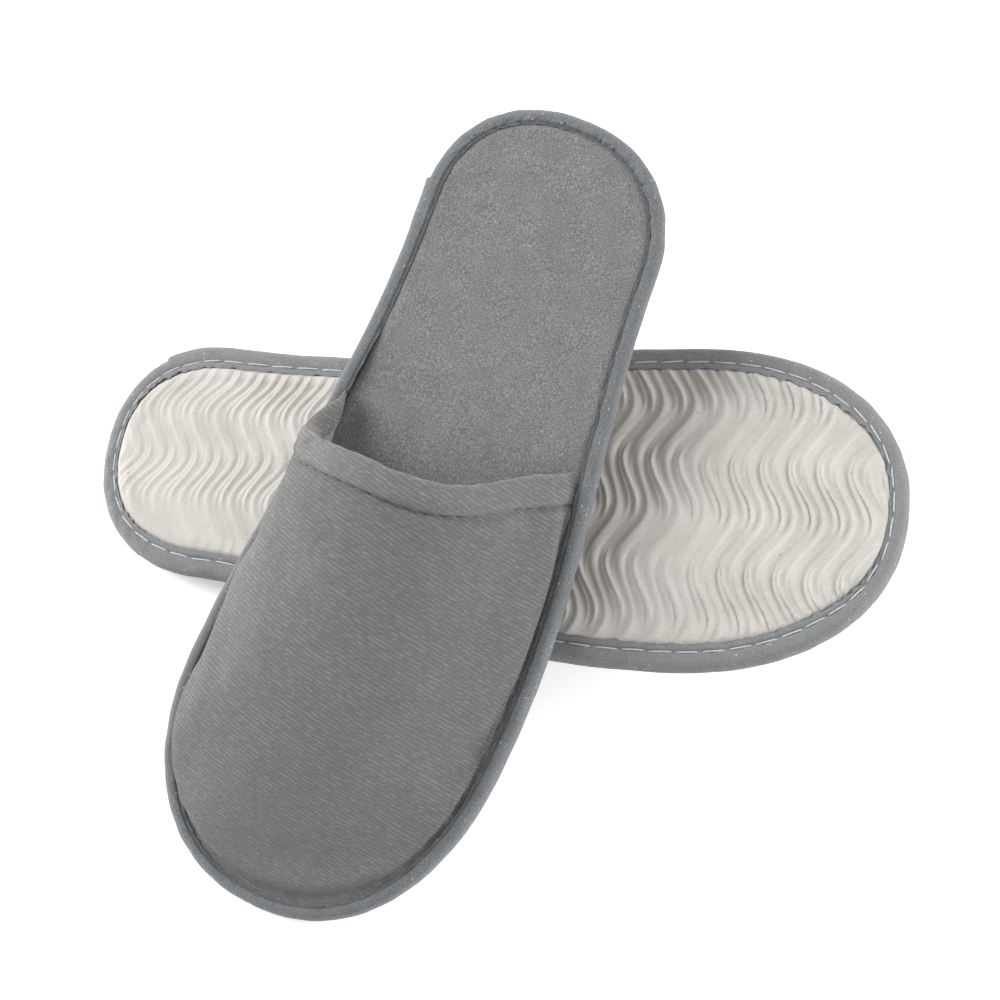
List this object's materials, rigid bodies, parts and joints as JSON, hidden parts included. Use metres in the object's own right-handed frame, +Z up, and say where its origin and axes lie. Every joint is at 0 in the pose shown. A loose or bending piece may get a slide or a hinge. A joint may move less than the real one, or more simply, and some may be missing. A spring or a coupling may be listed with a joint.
{
  "type": "spa slippers",
  "caption": "Closed-toe padded spa slippers, one resting on the other: right way up over upside down, with bound soles, hemmed grey uppers and a wavy embossed foam tread.",
  "frame": {"origin": "on the floor, below the centre of the pair's bounding box", "axes": "+Z up from the floor; +X the way the upside-down slipper's toe end lies; +Y the way the right-way-up slipper's heel end lies"},
  "size_m": [0.2765, 0.2576, 0.0968],
  "materials": {
    "outsole_foam": "matte off-white closed-cell foam, embossed wavy tread",
    "cushion_foam": "soft pale foam, hidden",
    "footbed_pile": "short grey fleece pile",
    "binding_tape": "smooth cool-grey knitted tape",
    "vamp_twill": "brushed grey twill with fine ribs across the slipper",
    "padding": "soft wadding, hidden",
    "lining_cloth": "plain grey knitted lining",
    "hem_twill": "brushed grey twill, folded hem",
    "needle_thread": "dark grey sewing thread",
    "bobbin_thread": "white sewing thread"
  },
  "bodies": {
    "under_slipper": {"under_outsole": "outsole_foam", "under_cushion_foam": "cushion_foam", "under_footbed": "footbed_pile", "under_edge_binding": "binding_tape", "under_vamp_cloth": "vamp_twill", "under_vamp_padding": "padding", "under_vamp_lining": "lining_cloth", "under_opening_hem": "hem_twill", "under_needle_thread": "needle_thread", "under_bobbin_thread": "bobbin_thread", "under_hem_thread": "needle_thread"},
    "over_slipper": {"over_outsole": "outsole_foam", "over_cushion_foam": "cushion_foam", "over_footbed": "footbed_pile", "over_edge_binding": "binding_tape", "over_vamp_cloth": "vamp_twill", "over_vamp_padding": "padding", "over_vamp_lining": "lining_cloth", "over_opening_hem": "hem_twill", "over_needle_thread": "needle_thread", "over_bobbin_thread": "bobbin_thread", "over_hem_thread": "needle_thread"}
  },
  "joints": [
    {"name": "lift_off", "type": "slide", "parent": "under_slipper", "child": "over_slipper", "axis": [0, 0, 1], "range_m": [0, 0.15]}
  ]
}
